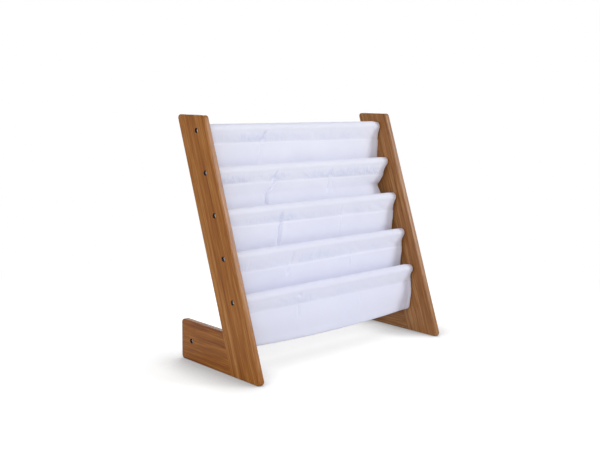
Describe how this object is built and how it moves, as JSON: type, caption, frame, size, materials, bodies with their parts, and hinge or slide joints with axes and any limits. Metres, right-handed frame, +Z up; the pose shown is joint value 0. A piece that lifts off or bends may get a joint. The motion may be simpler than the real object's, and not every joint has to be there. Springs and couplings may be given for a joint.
{
  "type": "sling bookshelf",
  "caption": "Free-standing sling bookshelf for children: leaning wooden side frames, round crossrails and a hanging cloth sling folded into book pockets.",
  "frame": {"origin": "on the floor, at the middle of the shelf's width and depth", "axes": "+Z up, +X to the right seen from the front, -Y towards the front, where the books face"},
  "size_m": [0.648, 0.3054, 0.6],
  "materials": {
    "board_wood": "stained laminated boards, satin lacquer, rounded edges",
    "rail_wood": "stained round rails, satin lacquer",
    "pin_wood": "plain beech, unfinished",
    "bolt_steel": "bright zinc-plated steel",
    "insert_brass": "plain turned brass",
    "sling_cloth": "white woven cloth, matt, with packing creases"
  },
  "bodies": {
    "root": {"left_upright": "board_wood", "left_foot": "board_wood", "left_joint_pin_1": "pin_wood", "left_joint_pin_2": "pin_wood", "right_upright": "board_wood", "right_foot": "board_wood", "right_joint_pin_1": "pin_wood", "right_joint_pin_2": "pin_wood", "sling_rail_1": "rail_wood", "sling_rail_2": "rail_wood", "sling_rail_3": "rail_wood", "sling_rail_4": "rail_wood", "sling_rail_5": "rail_wood", "rear_rail": "rail_wood", "left_rail_1_bolt": "bolt_steel", "left_rail_1_insert": "insert_brass", "left_rail_2_bolt": "bolt_steel", "left_rail_2_insert": "insert_brass", "left_rail_3_bolt": "bolt_steel", "left_rail_3_insert": "insert_brass", "left_rail_4_bolt": "bolt_steel", "left_rail_4_insert": "insert_brass", "left_rail_5_bolt": "bolt_steel", "left_rail_5_insert": "insert_brass", "left_rear_rail_bolt": "bolt_steel", "left_rear_rail_insert": "insert_brass", "right_rail_1_bolt": "bolt_steel", "right_rail_1_insert": "insert_brass", "right_rail_2_bolt": "bolt_steel", "right_rail_2_insert": "insert_brass", "right_rail_3_bolt": "bolt_steel", "right_rail_3_insert": "insert_brass", "right_rail_4_bolt": "bolt_steel", "right_rail_4_insert": "insert_brass", "right_rail_5_bolt": "bolt_steel", "right_rail_5_insert": "insert_brass", "right_rear_rail_bolt": "bolt_steel", "right_rear_rail_insert": "insert_brass", "sling_sleeve_1": "sling_cloth", "sling_sleeve_2": "sling_cloth", "sling_sleeve_3": "sling_cloth", "sling_sleeve_4": "sling_cloth", "sling_sleeve_5": "sling_cloth", "sling_pocket_1": "sling_cloth", "sling_pocket_2": "sling_cloth", "sling_pocket_3": "sling_cloth", "sling_pocket_4": "sling_cloth"}
  },
  "joints": []
}
